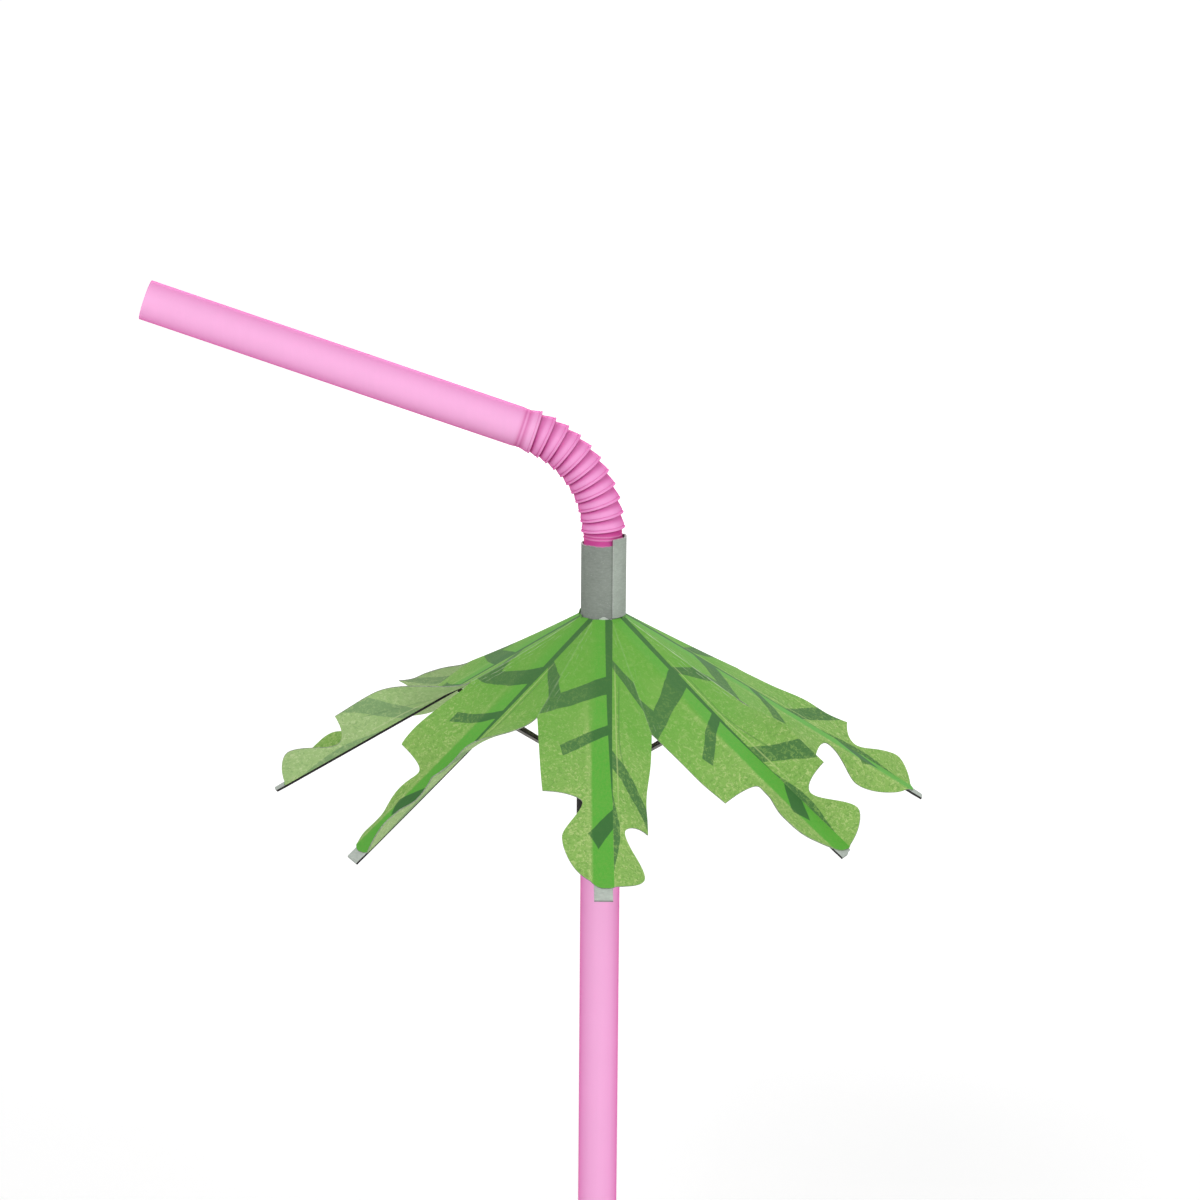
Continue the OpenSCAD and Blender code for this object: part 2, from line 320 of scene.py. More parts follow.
def leaf_paper(name, deep, pale, fleck, speck, glued, vein, vein_glued, print_depth):
    """Printed paper: mottled green, a richer strip over the rib, a midrib and blade veins."""
    g = Graph(name)
    across, along = g.flat()
    number = g.attribute("leaf_no")
    place = g.vector(across, along, g.mul(number, 37.0))
    cloud = g.noise(place, 0.16, 3.0)
    grain = g.noise(g.vector(across, g.mul(along, 0.7), g.mul(number, 37.0)), 3.2, 7.0, 0.74, 0.6)
    fibre = g.noise(g.vector(g.mul(across, 0.6), g.mul(along, 1.6), g.mul(number, 11.0)), 1.6, 5.0, 0.72)
    warp = g.mul(g.sub(g.noise(place, 0.22, 2.0), 0.5), 1.1)
    # Ground colour, paler outwards and flecked
    age = g.add(g.mul(g.step(along, 6.0, 44.0), 0.75), g.mul(g.sub(cloud, 0.5), 0.9))
    ground = g.mix(age, deep, pale)
    outward = g.step(along, 10.0, 40.0)
    salt = g.noise(g.vector(across, g.mul(along, 0.8), g.mul(number, 23.0)), 1.9, 4.0, 0.8, 0.8)
    pepper = g.noise(g.vector(g.mul(across, 0.9), along, g.mul(number, 53.0)), 2.3, 4.0, 0.8, 0.5)
    flecks = g.mul(g.step(salt, 0.5, 0.62), g.add(0.16, g.mul(outward, 0.6)))
    ground = g.mix(flecks, ground, fleck)
    ground = g.mix(g.mul(g.step(fibre, 0.55, 0.75), g.add(0.1, g.mul(outward, 0.3))), ground, deep)
    specks = g.mul(g.step(pepper, 0.5, 0.64), g.add(0.12, g.mul(outward, 0.5)))
    ground = g.mix(specks, ground, speck)
    # Strip glued to the rib, soft at the crown and crisp further out
    crisp = g.step(along, 10.0, 30.0)
    strip_low = g.sub(g.mul(crisp, 0.75), 2.5)
    strip_high = g.sub(-0.3, g.mul(crisp, 0.9))
    strip = g.span(across, (strip_low, strip_high), (1.46, 1.52))
    strip = g.mul(strip, g.add(0.6, g.mul(crisp, 0.36)))
    ground = g.mix(strip, ground, g.mix(g.step(grain, 0.3, 0.8), glued, deep))
    glow = g.mul(g.line(across, g.sub(strip_low, 0.1), 0.1, 0.5), g.mul(g.step(along, 12.0, 20.0), 0.14))
    ground = g.mix(glow, ground, fleck)
    # Midrib left of the ridge, and its tail right of the ridge
    s = g.add(g.attribute("print_along"), warp)
    reach = g.mul(1.05, g.sub(1.0, g.math("POWER", g.math("MAXIMUM", g.mul(along, 1 / 37.0), 0.0), 1.6)))
    inner = g.sub(FOLD_T, reach)
    ink = g.span(across, (g.sub(inner, 0.06), g.add(inner, 0.06)), (FOLD_T, FOLD_T + 0.04))
    ink = g.mul(ink, g.step(reach, 0.0, 0.1))
    tail_w = g.mul(0.95, g.span(along, (33.5, 41.0), (42.0, 49.5)))
    tail_edge = (g.add(FOLD_T - 0.02, tail_w), g.add(FOLD_T + 0.06, tail_w))
    tail = g.span(across, (FOLD_T, FOLD_T + 0.02), tail_edge)
    ink = g.math("MAXIMUM", ink, g.mul(tail, g.step(tail_w, 0.02, 0.1)))
    left = g.sub(FOLD_T, across)
    right = g.sub(across, FOLD_T)

    def vein_band(x, upper, lower, end, lean):
        """Blade between two lines s = start + slope x, cut off at end with a leaning end."""
        above = g.sub(s, g.add(upper[0], g.mul(x, upper[1])))
        below = g.sub(g.add(lower[0], g.mul(x, lower[1])), s)
        stop = g.sub(g.sub(end, g.mul(above, lean)), x)
        mask = g.mul(g.step(above, -PRINT_SOFT, PRINT_SOFT), g.step(below, -PRINT_SOFT, PRINT_SOFT))
        mask = g.mul(mask, g.step(stop, -0.06, 0.06))
        return g.mul(mask, g.step(x, -0.02, 0.02))

    bands = [
        vein_band(left, (11.0, 0.55), (15.0, 0.42), 14.0, 0.0),
        vein_band(left, (20.8, 0.6), (22.7, 0.66), 7.5, 0.2),
        vein_band(left, (37.2, 1.3), (41.1, 1.7), 3.5, 0.3),
        vein_band(right, (8.3, 0.95), (9.8, 1.35), 14.0, 0.0),
        vein_band(right, (26.4, 1.25), (29.6, 1.4), 14.0, 0.0),
    ]
    # The neighbour's vein runs over the pleat, so that the two end in a V at the slit
    pleat = g.attribute("valley")
    v_mark = g.step(g.sub(g.mul(g.sub(s, 12.4), 0.5), pleat), -PRINT_SOFT, PRINT_SOFT)
    v_mark = g.mul(v_mark, g.step(left, 3.0, 3.1))
    v_end = g.sub(g.add(15.0, g.mul(left, 0.42)), s)
    bands.append(g.mul(v_mark, g.step(v_end, -PRINT_SOFT, PRINT_SOFT)))
    for band in bands:
        ink = g.math("MAXIMUM", ink, band)
    worn_ink = g.mul(g.step(salt, 0.48, 0.62), g.add(0.16, g.mul(outward, 0.4)))
    dark = g.mix(strip, g.mix(worn_ink, vein, pale), vein_glued)
    colour = g.mix(g.mul(ink, print_depth), ground, dark)
    # Creases: pale where the print has cracked, along the pleats; beside the ridge, a painted highlight
    # on a raised crease and painted shade in the crease further out
    worn = g.attribute("worn")
    cracks = g.noise(g.vector(g.mul(across, 1.6), g.mul(along, 0.16), number), 1.0, 4.0, 0.6)
    broken = g.step(cracks, 0.42, 0.66)
    scuff = g.mul(g.sub(1.0, g.step(pleat, 0.02, 0.26)), g.add(0.25, g.mul(broken, 0.5)))
    wander = g.sub(g.noise(g.vector(0.0, g.mul(along, 0.3), number), 1.0, 2.0), 0.5)
    near = g.add(pleat, wander)
    scuff = g.math("MAXIMUM", scuff, g.mul(g.mul(g.line(near, 0.8, 0.02, 0.12), broken), 0.6))
    scuff = g.math("MAXIMUM", scuff, g.mul(g.mul(g.line(near, 1.6, 0.02, 0.1), broken), 0.4))
    colour = g.mix(g.mul(scuff, worn), colour, srgb(188, 208, 168))
    # Painted highlight along the raised crease beside the ridge
    crease_highlight = g.line(across, g.add(1.72, g.mul(along, 0.018)), 0.05, 0.12)
    crease_highlight = g.mul(crease_highlight, g.span(along, (8.0, 13.0), (33.0, 40.0)))
    colour = g.mix(g.mul(crease_highlight, 0.5), colour, fleck)
    # Painted shade in the sunken crease further out, bending outwards towards the tip
    bent = g.mul(g.math("POWER", g.math("MAXIMUM", g.mul(g.sub(along, 22.0), 0.075), 0.0), 1.8), 2.4)
    crease_shade = g.line(across, g.add(2.55, bent), 0.05, 0.1)
    crease_shade = g.mul(crease_shade, g.span(along, (10.0, 16.0), (34.0, 37.0)))
    colour = g.mix(g.mul(crease_shade, 0.42), colour, vein)
    g.plug(g.shader.inputs["Base Color"], colour)
    g.plug(g.shader.inputs["Roughness"], g.sub(0.82, g.mul(strip, 0.12)))
    g.shader.inputs["Specular IOR Level"].default_value = 0.22
    height = g.add(g.mul(grain, 0.7), g.mul(fibre, 0.5))
    height = g.sub(g.add(height, g.mul(crease_highlight, 1.2)), g.mul(crease_shade, 1.2))
    g.bump(height, 0.00005, 0.7)
    return g.material


def plain_paper(name, face, speck):
    """Paper without print, and its cut edge."""
    g = Graph(name)
    grain = g.noise(g.place(), 3000.0, 3.0, 0.65)
    g.plug(g.shader.inputs["Base Color"], g.mix(g.step(grain, 0.35, 0.7), face, speck))
    g.plug(g.shader.inputs["Roughness"], g.add(0.78, g.mul(grain, 0.15)))
    g.bump(grain, 0.00003, 0.5)
    return g.material


# The second colour is the deep pink of painted shade and of walls lying behind one another
PINK = straw_plastic("pink_plastic", srgb(255, 218, 246), srgb(206, 66, 156), 0.14)
PINK_FOLD = straw_plastic("pink_plastic_folds", srgb(255, 205, 242), srgb(206, 52, 158), 0.16)
GREY_CARD = card("grey_card", srgb(140, 146, 140), srgb(166, 173, 166))
PALE_CARD = card("pale_card", srgb(168, 176, 168), srgb(192, 199, 192))
CUT_CARD = card("cut_card", srgb(206, 212, 206), srgb(226, 230, 226))
RIB_CARD = card("rib_card", srgb(186, 195, 186), srgb(212, 218, 212))
BLACK_CARD = card("black_card", srgb(38, 36, 36), srgb(74, 70, 70))
DARK_CARD = card("dark_card", srgb(122, 119, 114), srgb(150, 146, 140))
LEAF_TOP = leaf_paper(
    "leaf_print", srgb(104, 166, 64), srgb(140, 178, 93), srgb(182, 204, 130), srgb(88, 136, 58),
    srgb(78, 166, 52), srgb(74, 118, 64), srgb(54, 106, 50), 1.0)
LEAF_BACK = leaf_paper(
    "leaf_back", srgb(140, 178, 108), srgb(160, 188, 126), srgb(190, 208, 154), srgb(122, 156, 96),
    srgb(140, 178, 112), srgb(112, 146, 100), srgb(104, 142, 92), 0.75)
COLLAR_PAPER = plain_paper("collar_paper", srgb(74, 128, 54), srgb(104, 156, 74))
LEAF_EDGE = plain_paper("leaf_cut_edge", srgb(112, 124, 104), srgb(150, 160, 138))


# Mesh helpers

def make_object(name, points, faces, materials, picks=None, smooth=35, flat=None, values=None):
    """Mesh object from points in millimetres, with faces' material numbers and flat coordinates."""
    mesh = bpy.data.meshes.new(name)
    mesh.from_pydata([tuple(p * MM for p in q) for q in points], [], faces)
    for m in materials:
        mesh.materials.append(m)
    if picks:
        mesh.polygons.foreach_set("material_index", picks)
    if flat:
        layer = mesh.uv_layers.new(name="flat")
        for loop in mesh.loops:
            u, v = flat[loop.vertex_index]
            layer.data[loop.index].uv = (u / FLAT_SPAN + 0.5, v / FLAT_SPAN)
    for label, numbers in (values or {}).items():
        attribute = mesh.attributes.new(label, "FLOAT", "POINT")
        attribute.data.foreach_set("value", numbers)
    mesh.polygons.foreach_set("use_smooth", [True] * len(mesh.polygons))
    mesh.set_sharp_from_angle(angle=math.radians(smooth))
    mesh.update()
    obj = bpy.data.objects.new(name, mesh)
    bpy.context.scene.collection.objects.link(obj)
    return obj


def lathe(name, profile, material, place=Matrix.Identity(4), front=1.0):
    """Closed profile of (radius, height, shade) turned about Z, then put in place.

    The shade towards +X, on the open side of a bend, is front times the shade towards -X, so that the
    painted shade is deepest on the closed side.
    """
    segments = 96
    turns = [2 * math.pi * k / segments for k in range(segments)]
    points = [place @ Vector((q[0] * math.cos(a), q[0] * math.sin(a), q[1]))
              for a in turns for q in profile]
    ways = [(1 - math.cos(a)) / 2 for a in turns]
    shade = [(q[2] if len(q) > 2 else 0.0) * (front + (1 - front) * w) for w in ways for q in profile]
    n = len(profile)
    faces = []
    for k in range(segments):
        nxt = (k + 1) % segments
        for j in range(n):
            jn = (j + 1) % n
            faces.append((k * n + j, nxt * n + j, nxt * n + jn, k * n + jn))
    return make_object(name, points, faces, [material], smooth=28, values={"shade": shade})


def arc(centre, radius, start, stop, count):
    """Points of an arc in the profile plane, angles in degrees."""
    angles = [math.radians(start + (stop - start) * k / (count - 1)) for k in range(count)]
    return [(centre[0] + radius * math.cos(a), centre[1] + radius * math.sin(a)) for a in angles]


def strip_faces(rows, columns):
    """Faces of a closed slab: a top grid, a bottom grid and its rim, with numbers for each skin."""
    faces = []
    picks = []
    size = rows * columns
    for r in range(rows - 1):
        for c in range(columns - 1):
            a = r * columns + c
            quad = (a, a + 1, a + columns + 1, a + columns)
            faces.append(quad)
            picks.append(0)
            faces.append(tuple(size + k for k in reversed(quad)))
            picks.append(1)
    loop = [c for c in range(columns)]
    loop += [r * columns + columns - 1 for r in range(1, rows)]
    loop += [(rows - 1) * columns + c for c in range(columns - 2, -1, -1)]
    loop += [r * columns for r in range(rows - 2, 0, -1)]
    for k, a in enumerate(loop):
        b = loop[(k + 1) % len(loop)]
        faces.append((b, a, size + a, size + b))
        picks.append(2)
    return faces, picks


# Straw, bellows and mouthpiece

def bellows_place(k):
    """Place of fold k: its crest's centre, with Z along its own axis."""
    hinge = Vector((0, 0, FIRST_CREST_Z + RING_OVERLAP / 2))
    for j in range(1, k):
        hinge += RING_PITCH * Vector((-math.sin(j * BEND_STEP), 0, math.cos(j * BEND_STEP)))
    turn = Matrix.Rotation(-k * BEND_STEP, 4, "Y")
    return Matrix.Translation(hinge) @ turn @ Matrix.Translation((0, 0, -RING_OVERLAP / 2))


def tube_profile():
    """Straight tube, its ribbed waist above the sleeve, and the neck inside the first fold."""
    bore = STRAW_R - STRAW_WALL
    base = CROWN_Z + SLEEVE_H - 0.4
    waist = STRAW_R - 0.14
    outer = [(STRAW_R - 0.05, 0.0), (STRAW_R, 0.06)]
    outer += [(STRAW_R, base * k / 12) for k in range(1, 13)]
    # The waist is drawn towards the deep pink, its two ribs less so, and the neck inside the first fold
    # fully
    outer += [(waist, base + 0.6, 0.9), (waist, base + 1.1, 0.9), (waist + 0.1, base + 1.3, 0.3)]
    outer += [(waist, base + 1.45, 0.8), (waist, base + 1.6, 0.8), (waist + 0.08, base + 1.75, 0.35)]
    top = FIRST_CREST_Z + RING_OVERLAP
    outer += [(waist, base + 1.9, 0.8), (waist, FIRST_CREST_Z - 0.3, 0.9), (NECK_R, top, 1.0)]
    inner = [(NECK_R - RING_WALL, top, 1.0), (waist - STRAW_WALL, FIRST_CREST_Z - 0.3, 0.7)]
    inner += [(waist - STRAW_WALL, base + 0.6, 0.5)]
    inner += [(bore, base * k / 12) for k in range(12, 0, -1)]
    inner += [(bore, 0.06), (bore + 0.05, 0.0)]
    return outer + inner


def fold_rim():
    """Rounded rim of a fold with its turned-in lip, from the inside round to the outside."""
    # Under the rim the turned-in lip is at full shade, partly the colour of the doubled wall and partly
    # painted shade; the shade fades out round the bead
    lip = [(CREST_R - 0.23, 0.1, 1.0), (CREST_R - 0.21, 0.02, 0.9)]
    bead = arc((CREST_R - 0.1, 0.1), 0.1, -90, 70, 7)
    return lip + [(r, z, max(0.8 - 0.3 * k, 0.0)) for k, (r, z) in enumerate(bead)]


def ring_profile():
    """One fold of the bellows: a cup whose narrow end lies inside the next fold."""
    height = RING_PITCH + RING_OVERLAP
    neck = 2.78
    # Painted shade in the groove low on the cone, up the cone towards the next fold's rim, and on the
    # inside of the cup
    cone = [(3.2, 0.3, 0.2), (3.16, 0.4, 0.7), (3.2, 0.5, 0.2), (3.12, 0.8), (3.04, 1.1, 0.2)]
    cone += [(2.97, 1.38, 0.75), (2.9, 1.6, 1.0), (2.84, 1.8, 1.0), (neck, height, 1.0)]
    inner = [(neck - RING_WALL, height, 1.0), (2.7, 1.7, 0.8), (2.84, 1.2, 0.5)]
    inner += [(2.95, 0.8, 0.5), (3.01, 0.4, 0.8)]
    return fold_rim() + cone + inner


def mouthpiece_profile():
    """Last fold, then the straight tube to the open end."""
    bore = STRAW_R - STRAW_WALL
    end = MOUTHPIECE_LEN
    # Painted shade in the grooves of the last fold's cone
    cone = [(3.2, 0.3), (3.16, 0.4, 0.35), (3.2, 0.5), (3.06, 1.0), (2.9, 1.7, 0.6), (2.94, 2.0, 0.1)]
    cone += [(2.9, 2.25, 0.6), (2.97, 2.6, 0.15), (STRAW_R, 3.0)]
    outer = [(STRAW_R, 3 + (end - 3) * k / 8) for k in range(1, 8)]
    outer += [(STRAW_R, end - 0.06), (STRAW_R - 0.05, end), (bore + 0.05, end), (bore, end - 0.06)]
    inner = [(bore, 3 + (end - 3) * k / 8) for k in range(7, -1, -1)]
    inner += [(2.76, 2.25), (2.73, 1.7), (2.88, 1.0), (3.02, 0.4)]
    return fold_rim() + cone + outer + inner


tube = lathe("straw_tube_moulded", tube_profile(), PINK)
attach(tube, "straw")
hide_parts("straw_tube")
for k in range(1, RING_COUNT + 1):
    ring = lathe(f"bellows_fold_{k}", ring_profile(), PINK_FOLD, bellows_place(k), front=0.4)
    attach(ring, f"bellows_{k}")
    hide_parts(f"bellows_ring_{k}")
mouth = lathe("mouthpiece_moulded", mouthpiece_profile(), PINK, bellows_place(RING_COUNT + 1))
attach(mouth, "mouthpiece")
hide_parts("mouthpiece_tube")


# Rolled card on the straw

def rolled_card(name, lows, heights, radius, sweep, thick, start, lap, materials, body, node):
    """Sheet of card rolled round the straw from start through sweep, in degrees.

    Its radius, thickness and ends are given by the angle that it has wound. The first lap takes
    the last material.
    """
    count = 150
    rows = 14
    points = []
    for skin in (1, -1):
        for k in range(count + 1):
            a = sweep * k / count
            r = radius(a) + skin * thick(a) / 2
            turn = math.radians(start + a)
            low = lows(a)
            top = heights(a)
            for j in range(rows + 1):
                z = low + (top - low) * j / rows
                points.append((r * math.cos(turn), r * math.sin(turn), z))
    faces, picks = strip_faces(count + 1, rows + 1)
    lap_end = (rows + 1) * int(count * lap / sweep)
    picks = [3 if n == 0 and max(f) < lap_end else n for f, n in zip(faces, picks)]
    obj = make_object(name, points, [tuple(reversed(f)) for f in faces], materials, picks, smooth=40)
    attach(obj, body)
    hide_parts(node)
    return obj


# Degrees of the sleeve's outer lap, and those over which the card steps down on to the straw
SLEEVE_LAP = 97.0
LAP_STEP = 16.0


def on_lap(a):
    """1 on the sleeve's outer lap, 0 on the turn against the straw."""
    return 1 - ease((a - SLEEVE_LAP) / LAP_STEP)


def sleeve_radius(a):
    return 3.13 + 0.27 * on_lap(a)


def sleeve_thick(a):
    return 0.2 + 0.09 * on_lap(a)


def sleeve_top(a):
    rough = 0.05 * math.sin(a * 0.11) + 0.03 * math.sin(a * 0.37 + 1)
    return CROWN_Z + SLEEVE_H + 1.1 * (1 - ease((a - 88) / 24)) + rough * ease(a / 30)


def sleeve_low(a):
    return CROWN_Z + 0.12 + 0.45 * on_lap(a)


rolled_card("crown_sleeve_rolled", sleeve_low, sleeve_top, sleeve_radius, 462.0, sleeve_thick, -63.0,
            SLEEVE_LAP, [GREY_CARD, GREY_CARD, CUT_CARD, PALE_CARD], "straw", "crown_sleeve")

# Sleeve's scuffed foot and the corners of leaf paper turned up round it

def curved_patch(name, spans, radius, thickness, materials, rows=9, columns=17):
    """Thin patch bent round the straw; spans(a, b) gives an angle, a height and a step outwards."""
    points = []
    for skin in (1, -1):
        for j in range(rows):
            for k in range(columns):
                angle, z, out = spans(k / (columns - 1), j / (rows - 1))
                r = radius + out + skin * thickness / 2
                turn = math.radians(angle)
                points.append((r * math.cos(turn), r * math.sin(turn), z))
    faces, picks = strip_faces(rows, columns)
    return make_object(name, points, faces, materials, picks, smooth=40)


def foot_tab(a, b):
    """Rounded scuffed tab under the front of the sleeve."""
    angle = -98 + 34 * a
    round_off = 1 - abs(2 * a - 1) ** 3
    low = CROWN_Z + 0.15 - 0.85 * round_off
    high = CROWN_Z + 0.55 + 0.3 * math.sin(5 * a) * round_off
    return angle, low + (high - low) * b, 0.06 * b * round_off - 0.24 * (1 - b)


tab = curved_patch("sleeve_foot_tab", foot_tab, 3.34, 0.1, [CUT_CARD, CUT_CARD, CUT_CARD])
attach(tab, "straw")


def collar_point(gap, a, b):
    """Corner of the leaf sheet turned up against the sleeve at a pleat."""
    angle = -67.5 + 45 * (gap - 1) + 15 * (2 * a - 1) * (1 - 0.7 * b)
    height = 0.75 + 0.2 * math.sin(2.3 * gap)
    out = 0.3 * (1 - b) ** 1.5 + 0.12 * b
    return angle, CROWN_Z + 0.05 + b * height, out


for gap in range(2, LEAVES):
    corner = curved_patch(f"leaf_collar_{gap}", lambda a, b, gap=gap: collar_point(gap, a, b), 3.4, 0.1,
                          [COLLAR_PAPER, COLLAR_PAPER, COLLAR_PAPER], rows=6, columns=15)
    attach(corner, "straw")


# Ribs, stretchers and runner

def rib_axes(i):
    """Unit vectors at rib i: outwards, round the straw, down the rib, and up out of it."""
    az = math.radians(-90 + 45 * (i - 1))
    out = np.array([math.cos(az), math.sin(az), 0.0])
    side = np.array([-math.sin(az), math.cos(az), 0.0])
    down = out * math.sin(RIB_OPEN) - UP * math.cos(RIB_OPEN)
    normal = out * math.cos(RIB_OPEN) + UP * math.sin(RIB_OPEN)
    return out, side, down, normal


def rib_base(i):
    return rib_axes(i)[0] * HINGE_R + UP * CROWN_Z


def rib_bow(i, s):
    """Offset of rib i at s from a straight rib, past the place where its stretcher holds it."""
    share = max(s - BOW_FROM, 0.0) / (RIB_LEN - BOW_FROM)
    _, side, _, normal = rib_axes(i)
    lift, sway = RIB_BOW[i - 1]
    return (normal * lift + side * sway) * share ** 1.6


def card_strip(name, base, along, across, normal, length, width, thickness, end_cut, materials, bow=None):
    """Strip of card with softened edges; end_cut(c) is the length lost at c, from -1 to 1 across."""
    rows = 40
    bevel = 0.05
    lanes = [-1.0, -1 + 2 * bevel / width, -0.6, -0.2, 0.2, 0.6, 1 - 2 * bevel / width, 1.0]
    points = []
    for skin in (1, -1):
        for j in range(rows):
            for c in lanes:
                share = j / (rows - 1)
                x = length[0] + (length[1] - end_cut(c) - length[0]) * share
                drop = bevel if abs(c) == 1.0 or j in (0, rows - 1) else 0.0
                h = skin * (thickness / 2 - drop)
                shift = bow(x) if bow else 0.0
                points.append(base + along * x + across * (c * width / 2) + normal * h + shift)
    faces, picks = strip_faces(rows, len(lanes))
    size = rows * len(lanes)
    last_row = size - len(lanes)
    picks = [len(materials) - 1 if n == 2 and min(v % size for v in f) >= last_row else n
             for f, n in zip(faces, picks)]
    return make_object(name, points, [tuple(reversed(f)) for f in faces], materials, picks, smooth=50)


def rib_end(i):
    """Length lost at rib i's end, by the place across it."""
    slant = RIB_SLANT[i - 1]
    nick = RIB_NICK[i - 1]
    short = RIB_SHORT[i - 1]
    return lambda c: short + abs(slant) + slant * c + (nick if c > 0.5 else 0.0)


link_open = RIB_OPEN - math.atan(STRETCHER_DROP / STRETCHER_AT)
link_len = math.hypot(STRETCHER_AT, STRETCHER_DROP)
runner_top = CROWN_Z - 2 * link_len * math.cos(link_open)
for i in range(1, LEAVES + 1):
    out, side, down, normal = rib_axes(i)
    rib = card_strip(f"rib_card_{i}", rib_base(i), down, side, normal, (0.3, RIB_LEN), RIB_W, RIB_T,
                     rib_end(i), [RIB_CARD, BLACK_CARD, BLACK_CARD, GREY_CARD],
                     bow=lambda s, i=i: rib_bow(i, s))
    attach(rib, f"rib_arm_{i}")
    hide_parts(f"rib_{i}")
    pivot = out * (HINGE_R + link_len * math.sin(link_open))
    pivot = pivot + UP * (CROWN_Z - link_len * math.cos(link_open))
    inward = -out * math.sin(link_open) - UP * math.cos(link_open)
    over = -out * math.cos(link_open) + UP * math.sin(link_open)
    strut = card_strip(f"stretcher_card_{i}", pivot, inward, -side, over, (-0.12, link_len - 0.5),
                       STRETCHER_W, STRETCHER_T, lambda c: 0.0, [DARK_CARD, DARK_CARD, BLACK_CARD])
    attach(strut, f"stretcher_arm_{i}")
    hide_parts(f"stretcher_{i}")


def runner_radius(a):
    """Two turns: the band outside, then a step down on to the sliding tube."""
    return 3.25 + 0.28 * (1 - ease((a - 352) / 14))


def runner_height(a):
    return runner_top - 2.2 * (1 - ease((a - 350) / 8)) + 0.03 * math.sin(a * 0.2)


rolled_card("runner_rolled", lambda a: runner_top - RUNNER_LEN, runner_height, runner_radius, 724.0,
            lambda a: 0.24, 150.0, 0.0, [BLACK_CARD, BLACK_CARD, DARK_CARD],
            "runner", "runner_sleeve")


# Leaves: each is one sheet creased at both edges of its rib. Flat coordinates are the distance
# along the rib and the distance across from its middle, left negative.

def slit_end(side):
    """Slit's inner end seen from a rib: distance along it, width from the fold, fold angle."""
    ribs = HINGE_R + SLIT_AT * math.sin(RIB_OPEN)
    radius = ribs * math.cos(math.pi / LEAVES) - PLEAT_DEPTH * math.cos(RIB_OPEN)
    drop = SLIT_AT * math.cos(RIB_OPEN) + PLEAT_DEPTH * math.sin(RIB_OPEN)
    turn = side * math.pi / LEAVES - SLIT_SHIFT
    out = radius * math.cos(turn) - HINGE_R
    wide = side * radius * math.sin(turn) - FOLD_T
    below = FOLD_N - (out * math.cos(RIB_OPEN) - drop * math.sin(RIB_OPEN))
    along = out * math.sin(RIB_OPEN) + drop * math.cos(RIB_OPEN)
    return along, math.hypot(wide, below), math.degrees(math.atan2(below, wide))


SLIT = {-1: slit_end(-1), 1: slit_end(1)}
HALF_TURN = math.tan(math.pi / LEAVES)
# Distance along a rib at which its folds meet the next ribs' folds
APEX = (FOLD_T / HALF_TURN - HINGE_R - FOLD_N * math.cos(RIB_OPEN)) / math.sin(RIB_OPEN)
# Where a leaf's paper begins, a little inside its rib's fold at the crown
FIRST_ROW = -0.2


def gap_beside(i, side):
    """Number, from 0, of the pleat beside a half of leaf i."""
    return i - 1 if side > 0 else (i - 2) % LEAVES


def pleat_fold(i, side):
    """Fold of a half in its pleat: a standing pleat mirrors a hanging one in the plane of its ribs."""
    hang = SLIT[side][2]
    plane = math.degrees(math.atan(math.cos(RIB_OPEN) * HALF_TURN))
    return 2 * plane - hang if PLEAT_UP[gap_beside(i, side)] else hang


def bezier(p, count):
    """Points of a cubic curve after its first, count of them."""
    shares = [k / count for k in range(1, count + 1)]
    p = [np.array(q, float) for q in p]
    return [(1 - t) ** 3 * p[0] + 3 * (1 - t) ** 2 * t * p[1] + 3 * (1 - t) * t * t * p[2] + t ** 3 * p[3]
            for t in shares]


def margin(side):
    """Outline of a half past its slit, as (distance along, width from the fold)."""
    slit = np.array(SLIT[side][:2])
    corner, waist, lobe, tip = (np.array(q) for q in MARGIN_MARKS[side])
    cut, rise, fall = waist - corner, lobe - waist, tip - lobe
    line = [slit, corner]
    line += bezier([corner, corner + (0.1 * cut[0], 0.65 * cut[1]), waist - (0.5 * cut[0], 0), waist], 14)
    line += bezier([waist, waist + (0.25 * rise[0], 0), lobe - (0.25 * rise[0], 0), lobe], 14)
    line += bezier([lobe, lobe + (0.4 * fall[0], 0), tip - (0.12 * fall[0], 0.45 * fall[1]), tip], 14)
    return np.array([(APEX, 0.0)] + [tuple(q) for q in line] + TIP_ROUNDING[side])


MARGIN = {-1: margin(-1), 1: margin(1)}


def half_width(side, s):
    """Width of a half from its fold; inside the apex the sheet is narrower than its rib."""
    if s < APEX:
        return (HINGE_R + s * math.sin(RIB_OPEN) + FOLD_N * math.cos(RIB_OPEN)) * HALF_TURN - FOLD_T
    return float(np.interp(s, MARGIN[side][:, 0], MARGIN[side][:, 1]))


def fold_angle(i, side, s):
    """Fold of a half at s, in radians down from the rib's plane, and its curl across."""
    start = SLIT[side][0]
    pleat = pleat_fold(i, side)
    middle, tip, curl, _ = (LEFT_FOLD if side < 0 else RIGHT_FOLD)[i - 1]
    bend, length = SECOND_BEND.get((i, side), (13.0, 11.0))
    run = s - start
    angle = pleat + (middle - pleat) * ease(run / 12) + (tip - middle) * ease((run - bend) / length)
    return math.radians(angle), math.radians(curl) * ease(run / 14)


def half_normal(i, side, s, u):
    """Unit vector up out of a half's paper."""
    _, across, _, normal = rib_axes(i)
    angle, curl = fold_angle(i, side, s)
    turned = angle + curl * u
    return side * across * math.sin(turned) + normal * math.cos(turned)


